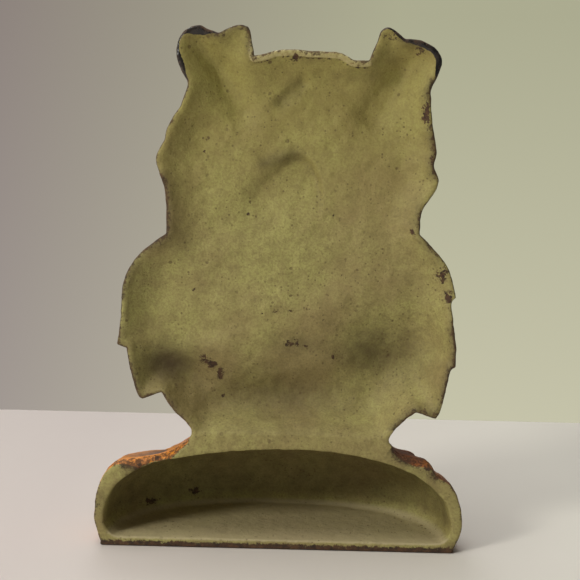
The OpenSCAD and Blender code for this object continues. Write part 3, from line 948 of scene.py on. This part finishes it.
def casting_material(name, front):
    """front(shader) is the enamel of a piece's front; the rest is the same on every piece."""
    s = Shader(name)
    cream = s.ragged("cream", s.noise(2.4, 4.0, 8.0), 0.35, 0.42, 0.58)
    chips = s.noise(1.7, 5.0, 12.0, 0.7)
    coat = s.layer(cream, front(s), cream_coat(s))
    lip = s.ragged("lip", chips, 0.3, 0.45, 0.6)
    lip_colour = s.mix(s.range(chips, 0.35, 0.65), (0.52, 0.47, 0.22), (0.36, 0.28, 0.10))
    coat = s.layer(lip, coat, (lip_colour, 0.4, 0.5))
    rim_wear = s.ragged("edge", chips, 0.55, 0.50, 0.84)
    ground_wear = s.ragged("rust", chips, 0.42, 0.5, 0.75)
    stains = s.ragged("stain", chips, 0.5, 0.52, 0.72)
    wear = s.math("MAXIMUM", s.math("MULTIPLY", rim_wear, 0.85), s.math("MAXIMUM", ground_wear, stains))
    coat = s.layer(wear, coat, rust_coat(s))
    return s.finish(coat)


def enamel(light, dark, roughness=0.32):
    """Brushed enamel: dark over all, light rubbed on the raised feather edges, dirt in the crevices."""
    def front(s):
        strokes = s.noise(1.4, 4.0, 15.0, 0.6, (1, 1, 0.35))
        clouds = s.noise(14.0, 3.0, 16.0)
        colour = s.mix(s.ragged("mark", strokes, 0.25, 0.25, 0.8), dark, light)
        colour = s.mix(s.range(clouds, 0.35, 0.7, 0.0, 0.35), colour, dark)
        colour = s.mix(s.mask("crevice"), colour, (0.03, 0.02, 0.012))
        worn = s.math("MULTIPLY", s.specks(3.4, 0.14, 17.0), 0.85)
        fine = s.wave(s.noise(0.8, 3.0, 18.0), 0.0, 0.35)
        coat = (colour, s.wave(clouds, roughness - 0.08, roughness + 0.12), fine)
        return s.layer(worn, coat, rust_coat(s))
    return front


def mound_enamel(s):
    """Orange over brown, thick in places, with black in the cracks between the rocks."""
    clouds = s.noise(22.0, 4.0, 19.0)
    strokes = s.noise(3.0, 5.0, 20.0, 0.65)
    side = s.along("X", -0.05, 0.05, -0.10, 0.12)
    colour = s.mix(s.range(s.math("ADD", clouds, side), 0.36, 0.6), (0.28, 0.085, 0.020), (0.86, 0.30, 0.018))
    colour = s.mix(s.range(strokes, 0.48, 0.7, 0.0, 0.7), colour, (0.16, 0.055, 0.018))
    colour = s.mix(s.range(s.mask("crevice"), 0.15, 0.8), colour, (0.018, 0.012, 0.010))
    coat = (colour, s.wave(strokes, 0.28, 0.5), s.wave(strokes, 0.0, 0.5))
    return s.layer(s.math("MULTIPLY", s.specks(4.0, 0.2, 21.0), 0.9), coat, rust_coat(s))


FRONTS = {
    "mound_enamel": mound_enamel,
    "breast_enamel": enamel((0.66, 0.58, 0.38), (0.24, 0.13, 0.055)),
    "head_enamel": enamel((0.50, 0.37, 0.19), (0.085, 0.048, 0.025)),
    "wing_enamel": enamel((0.34, 0.29, 0.12), (0.055, 0.036, 0.022)),
    "tuft_enamel": enamel((0.030, 0.024, 0.020), (0.012, 0.011, 0.011), roughness=0.2),
}
MATERIALS = {name: casting_material(name, front) for name, front in FRONTS.items()}


# ---- the casting's pieces ----

SLOTS = {entry["node"]: entry["material_slot"] for entry in frame["record"]["subparts"]}


def finished(piece, *nodes):
    """Gives a piece its material, and puts it in place of the CAD nodes."""
    slot = SLOTS[nodes[0]]
    piece.data.materials.clear()
    piece.data.materials.append(MATERIALS[slot])
    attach(piece, "root")
    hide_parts(*nodes)


whole = placed(mesh_of(casting, LOW, VOXEL, "casting"), "casting")
keep_normals(whole.data)
for node in SHELLS:
    cutter = prism(cutter_loop(node), node + "_cutter")
    mesh = cut(whole, cutter, "INTERSECT")
    whole.data = cut(whole, cutter, "DIFFERENCE")
    bpy.data.objects.remove(cutter)
    paint_masks(mesh)
    use_normals(mesh)
    finished(placed(mesh, node + "_casting"), node)
main_island(whole.data)
paint_masks(whole.data)
use_normals(whole.data)
whole.name = "base_mound_casting"
finished(whole, "base_mound")


# ---- pieces of the face, and the feet ----

def front_material(name, coat):
    """coat(shader) is the enamel; chips of rust show through it."""
    s = Shader(name)
    chips = s.math("ADD", s.specks(2.6, 0.10, 23.0), s.wave(s.noise(1.3, 4.0, 24.0), -0.3, 0.3))
    return s.finish(s.layer(s.range(chips, 0.6, 0.8), coat(s), rust_coat(s)))


def brushed(s, colour, other, amount=0.45, size=2.0, roughness=0.3):
    """A colour streaked with another, as a coat."""
    strokes = s.noise(size, 4.0, 25.0, 0.6)
    return (s.mix(s.range(strokes, 0.4, 0.68, 0.0, amount), colour, other),
            s.wave(strokes, roughness - 0.06, roughness + 0.14), s.wave(strokes, 0.0, 0.5))


def face_enamel(s):
    """Cream rays over brown, darker towards the eye and dark round the rim."""
    zone = s.frayed("zone", s.noise(1.6, 4.0, 26.0), 0.05)
    colour = s.mix(s.range(s.mask("mark"), 0.30, 0.75), (0.20, 0.10, 0.04), (0.66, 0.55, 0.34))
    colour = s.mix(s.range(zone, 0.62, 0.46), colour, (0.12, 0.055, 0.025))
    colour = s.mix(s.range(zone, 0.86, 0.93), colour, (0.045, 0.026, 0.016))
    return brushed(s, colour, (0.13, 0.065, 0.03), 0.35, 1.8)


def eye_enamel(s):
    """A black pupil in a yellow iris with a dark lid round it."""
    zone = s.frayed("zone", s.noise(2.0, 4.0, 27.0), 0.02)
    colour = s.mix(s.range(zone, 0.45, 0.85), (0.62, 0.25, 0.010), (0.80, 0.52, 0.03))
    colour = s.mix(s.range(zone, 0.445, 0.415), colour, (0.008, 0.007, 0.007))
    colour = s.mix(s.range(zone, 0.86, 0.90), colour, (0.020, 0.014, 0.011))
    return brushed(s, colour, (0.30, 0.13, 0.02), 0.25, 1.5, 0.16)


def beak_enamel(s):
    """Dark horn at the root, ochre along the ridge."""
    colour = s.mix(s.range(s.mask("mark"), 0.25, 0.85), (0.030, 0.022, 0.017), (0.46, 0.27, 0.075))
    return brushed(s, colour, (0.10, 0.05, 0.02), 0.4, 1.6, 0.28)


def brow_enamel(s):
    colour = s.mix(s.range(s.mask("mark"), 0.3, 0.8), (0.040, 0.024, 0.015), (0.50, 0.36, 0.19))
    return brushed(s, colour, (0.09, 0.05, 0.025), 0.4, 1.5)


def foot_enamel(s):
    """Ochre toes with dark between the scales, and black claws."""
    colour = s.mix(s.range(s.mask("mark"), 0.2, 0.8), (0.23, 0.105, 0.025), (0.62, 0.38, 0.075))
    colour = s.mix(s.ragged("zone", s.noise(1.5, 3.0, 28.0), 0.05, 0.60, 0.66), colour, (0.014, 0.012, 0.011))
    return brushed(s, colour, (0.13, 0.06, 0.02), 0.4, 1.6)


for coat in (face_enamel, eye_enamel, beak_enamel, brow_enamel, foot_enamel):
    MATERIALS[coat.__name__] = front_material(coat.__name__, coat)


def sculpted(name, nodes, low, high, shape, masks):
    """A piece of its own, meshed from shape(x, depth, z); masks(x, depth, z) gives its "zone" and "mark"."""
    axes = [axis(low[k], high[k], FINE_VOXEL) for k in range(3)]
    x, d, z = np.meshgrid(*axes, indexing="ij")
    field = shape(x, d, z)
    near = np.abs(field) < BAND
    places = x[near], d[near], z[near]
    field[near] += 0.09 * noise(*places, 1.7, 41) + 0.07 * noise(*places, 3.5, 42)
    mesh = mesh_of(field, low, FINE_VOXEL, name)
    zone, mark = masks(*coordinates(mesh))
    store(mesh, "zone", zone)
    store(mesh, "mark", mark)
    finished(placed(mesh, name + "_casting"), *nodes)


def facial_disc(node):
    """A shallow dish of feathers that radiate from the eye, with a ruff round its rim."""
    cx, _, cz = middle(node)

    def polar(x, z):
        r = np.hypot(x - cx, z - cz)
        return r, np.arctan2(z - cz, x - cx)

    def rays(r, angle):
        inner = 0.5 + 0.5 * np.cos(34 * angle + 0.5 * np.sin(5 * angle))
        outer = 0.5 + 0.5 * np.cos(46 * angle + 0.7 * np.sin(4 * angle))
        step = smoothstep(15.6, 16.4, r - 1.2 * inner)
        return inner * (1 - step) + outer * step, step

    def shape(x, d, z):
        r, angle = polar(x, z)
        ray, step = rays(r, angle)
        height = (2.5 - 0.9 * smoothstep(19, 11, r) + 1.1 * np.exp(-((r - DISC_R + 3.2) / 1.8) ** 2)
                  + (0.62 * ray + 0.55 * (1 - step)) * smoothstep(9, 12, r))
        edge = r - (DISC_R - 0.7 + 0.7 * ray)
        return smooth_max(smooth_max((d - FACE_DEPTH - height) / 1.25, edge, 1.3), FACE_DEPTH - EMBEDDED - d, 0.5)

    def masks(x, d, z):
        r, angle = polar(x, z)
        return r / DISC_R, rays(r, angle)[0]

    low, high = box_mm(node)
    sculpted(node, [node], low - [1, 3, 1], high + [1, 1, 1], shape, masks)


def eye(node):
    """A domed eye: lid ring, iris and a pupil set in a fine groove."""
    cx, _, cz = middle(node)
    low, high = box_mm(node)
    rise = high[1] - low[1]
    ball = (EYE_R ** 2 + rise ** 2) / (2 * rise)

    def shape(x, d, z):
        r = np.hypot(x - cx, z - cz)
        dome = np.sqrt(r ** 2 + (d - high[1] + ball + 0.35) ** 2) - ball
        dome = dome + 0.28 * np.exp(-((r - 4.1) / 0.45) ** 2) - 0.25 * smoothstep(4.0, 3.4, r)
        lid = np.hypot(r - EYE_R + 0.5, (d - low[1] - 0.7) * 0.85) - 1.25
        return smooth_max(smooth_min(smooth_max(dome, r - EYE_R, 0.4), lid, 0.35), low[1] - 1.6 - d, 0.4)

    def masks(x, d, z):
        r = np.hypot(x - cx, z - cz)
        return r / EYE_R, 0 * r

    sculpted(node, [node], low - [2, 3, 2], high + [2, 1, 2], shape, masks)


def beak(node):
    """A hooked bill with a cere, nostrils and a line where it closes."""
    low, high = box_mm(node)
    cx = middle(node)[0]
    top, bottom, out = high[2], low[2], high[1] - low[1]
    at = low[1]
    ridge = [(cx, at + 0.5, top - 2.5, 2.4), (cx, at + 0.40 * out, top - 7, 4.0),
             (cx, at + 0.58 * out, top - 13, 4.1),
             (cx, at + 0.66 * out, top - 18, 3.3), (cx, at + 0.62 * out, top - 23, 2.1),
             (cx, at + 0.42 * out, bottom + 3.2, 1.2), (cx, at + 0.22 * out, bottom + 1.4, 0.55)]
    jaw = [(cx, at - 0.5, top - 12, 3.6), (cx, at + 1.0, top - 19, 2.6), (cx, at + 0.5, bottom + 4.5, 1.4)]

    def shape(x, d, z):
        across = cx + (x - cx) * 1.12
        bill = smooth_min(rod(across, d, z, ridge), rod(x, d, z, jaw), 0.7)
        cere = np.sqrt(((x - cx) / 1.25) ** 2 + (d - at - 1.8) ** 2 + ((z - top + 6) * 0.9) ** 2) - 4.2
        bill = smooth_min(bill, cere, 0.5)
        nostril = np.sqrt((np.abs(x - cx) - 3.7) ** 2 + (d - at - 0.50 * out) ** 2
                          + ((z - top + 8.5) * 0.7) ** 2) - 0.9
        return smooth_max(smooth_max(bill, -nostril, 0.3), at - EMBEDDED - d, 0.4)

    def masks(x, d, z):
        centre_line = np.interp(z, [p[2] for p in ridge[::-1]], [p[1] + p[3] for p in ridge[::-1]])
        return 0 * x, smoothstep(3.2, 0.4, centre_line - d) * smoothstep(top - 2, top - 9, z)

    sculpted(node, [node], low - [2, 3, 1], high + [2, 2, 1], shape, masks)


def brow(node, side):
    """Five pointed feathers side by side that arch over a disc, from the beak to the ear tuft."""
    cx, _, cz = middle("left_facial_disc" if side > 0 else "right_facial_disc")
    low, high = box_mm(node)
    strands = []
    for k in (-2, -1, 0, 1, 2):
        angles = np.radians(np.linspace(141 - 3 * abs(k), 49 + 5 * abs(k - 1), 11))
        stations = []
        for t, angle in zip(np.linspace(0, 1, 11), angles):
            swell = 0.35 + 0.65 * math.sin(math.pi * t ** 0.7)
            r = DISC_R + 4.0 + 1.5 * k * swell
            lift = (high[1] - low[1] - 2.2) * swell - 0.45 * k * k
            stations.append((cx + side * r * math.cos(angle), low[1] + max(lift, 0.4), cz + r * math.sin(angle),
                             0.35 + 1.45 * swell * (1 - 0.45 * t)))
        strands.append(stations)

    def shape(x, d, z):
        feathers = merged((rod(x, d, z, stations) for stations in strands), 0.35)
        under = [(sx, low[1] + 0.3, sz, 0.9 * (sr + 1.0)) for sx, _, sz, sr in strands[2]]
        feathers = smooth_min(feathers, rod(x, d, z, under), 1.2)
        return smooth_max(feathers, low[1] - EMBEDDED - d, 0.4)

    def masks(x, d, z):
        gaps = np.stack([rod(x, d, z, stations) for stations in strands])
        nearest = np.sort(gaps, axis=0)
        return 0 * x, smoothstep(0.1, 1.1, nearest[1] - nearest[0])

    sculpted(node, [node], low - [3, 3, 3], high + [3, 2, 3], shape, masks)


def foot(name, nodes):
    """Three scaly toes that come out from under the belly, each with a hooked claw over the rocks."""
    low, high = box_mm(*nodes)
    cx = middle(*nodes)[0]
    start, end = low[1], high[1]

    def station(k, t, lift, thickness):
        depth = start + (end - start) * t
        return cx + k * (7.6 + 3.4 * t), depth, mound_top_at(depth) + lift, thickness

    toes = []
    for k in (-1, 0, 1):
        toe, claw = [], []
        for t in np.linspace(0, 0.62, 10):
            knuckle = 0.45 * math.cos(2 * math.pi * (t / 0.2))
            toe.append(station(k, t, 1.5, 3.5 - 1.4 * t + 0.6 * knuckle))
        for t in np.linspace(0.56, 1.0, 8):
            u = (t - 0.56) / 0.44
            claw.append(station(k, t, 2.2 + 1.6 * math.sin(math.pi * u) - 1.8 * u, 2.0 - 1.6 * u ** 1.3))
        toes.append((toe, claw))

    def share(d):
        return (d - start) / (end - start)

    def shape(x, d, z):
        spread = merged((smooth_min(rod(x, d, z, toe), rod(x, d, z, claw), 0.5) for toe, claw in toes), 0.9)
        root = [(cx + side, start + 1, mound_top_at(start) + 1.5) for side in (-6, 6)]
        spread = smooth_min(spread, capsule(x, d, z, *root, 3.6, 3.6), 1.5)
        scales = 0.16 * np.cos(2 * np.pi * d / SCALE_LENGTH) * smoothstep(0.62, 0.5, share(d))
        return spread + scales

    def masks(x, d, z):
        return share(d), 0.5 - 0.5 * np.cos(2 * np.pi * d / SCALE_LENGTH)

    sculpted(name, nodes, low - [4, 5, 6], high + [4, 2, 4], shape, masks)


for owl_side in ("left", "right"):
    facial_disc(owl_side + "_facial_disc")
for owl_side in ("left", "right"):
    eye(owl_side + "_eye")
beak("beak")
brow("left_brow", 1)
brow("right_brow", -1)
foot("left_foot", LEFT_TOES)
foot("right_foot", RIGHT_TOES)


# ---- camera, floor and light ----

def aim_camera():
    """Behind the owl, a little above it, as a hand-held camera stands."""
    distance, height, side = 476.0, 181.9, -3.5
    pitch, roll, yaw = math.radians(7.4), math.radians(1.2), math.radians(0.6)
    level = Vector((math.sin(yaw), -math.cos(yaw), 0))
    place = Vector((side, BACK, height)) - level * distance
    place.z = height
    ahead = level * math.cos(pitch) + Vector((0, 0, -1)) * math.sin(pitch)
    right = level.cross(Vector((0, 0, 1))).normalized()
    up = right.cross(ahead)
    right, up = right * math.cos(roll) + up * math.sin(roll), up * math.cos(roll) - right * math.sin(roll)
    data = bpy.data.cameras.new("camera")
    data.sensor_width = 36.0
    data.lens = 67.2
    data.clip_start = 0.01
    camera = bpy.data.objects.new("camera", data)
    turn = Matrix((right, up, -ahead)).transposed().to_4x4()
    camera.matrix_world = Matrix.Translation(place * MM) @ turn
    bpy.context.scene.collection.objects.link(camera)
    bpy.context.scene.camera = camera


def lay_floor():
    """A pale table whose far edge lies behind the owl's front."""
    shape = bmesh.new()
    far, near, half = -0.222, 2.4, 2.4
    corners = [shape.verts.new(p) for p in ((-half, far, 0), (half, far, 0), (half, near, 0), (-half, near, 0))]
    shape.faces.new(corners)
    table = placed(made_of(shape, "table"), "table")
    s = Shader("table")
    cloud = s.range(s.noise(60.0, 3.0), 0.0, 1.0, -0.05, 0.05)
    # Painted light: the table grows paler towards -x, as if more light falls there
    side = s.along("X", 0.12, -0.16)
    colour = s.mix(s.math("ADD", side, cloud), (0.66, 0.60, 0.585), (0.84, 0.82, 0.76))
    s.set(s.surface.inputs["Base Color"], colour)
    s.set(s.surface.inputs["Roughness"], 0.6)
    table.data.materials.append(s.material)


def add_area(name, place, target, size, power, colour):
    data = bpy.data.lights.new(name, "AREA")
    data.shape = "DISK"
    data.size = size
    data.energy = power
    data.color = colour
    light = bpy.data.objects.new(name, data)
    light.location = place
    light.rotation_euler = (Vector(target) - Vector(place)).to_track_quat("-Z", "Y").to_euler()
    bpy.context.scene.collection.objects.link(light)


def light_room():
    """A dim room, with a wall that only the camera sees: grey on the left, yellower on the right. Its brighter
    right side and lower part are painted light.
    """
    world = bpy.data.worlds.new("room")
    world.use_nodes = True
    n = Nodes(world.node_tree)
    way = n.add("ShaderNodeTexCoord", "Generated", {})
    across = n.range(n.add("ShaderNodeSeparateXYZ", "X", {0: way}), 0.28, -0.08)
    down = n.range(n.add("ShaderNodeSeparateXYZ", "Z", {0: way}), 0.12, -0.24)
    high = n.mix(across, (0.262, 0.222, 0.204), (0.410, 0.408, 0.280))
    low = n.mix(across, (0.350, 0.308, 0.284), (0.560, 0.545, 0.400))
    seen = n.add("ShaderNodeLightPath", "Is Camera Ray", {})
    shown = n.mix(seen, (0.115, 0.110, 0.095), n.mix(down, high, low))
    n.set(n.tree.nodes["Background"].inputs["Color"], shown)
    bpy.context.scene.world = world
    add_area("ceiling", (0.25, 0.10, 1.45), (0, 0, 0.0), 1.3, 12.6, (1.0, 0.97, 0.92))
    add_area("key", (1.00, 0.85, 0.75), (0, 0, 0.1), 0.36, 9.6, (1.0, 0.97, 0.88))
    add_area("window", (0.3, -1.2, 1.0), (0, 0, 0.1), 1.0, 4, (1.0, 0.98, 0.96))


aim_camera()
lay_floor()
light_room()
bpy.context.scene.view_settings.view_transform = "Standard"
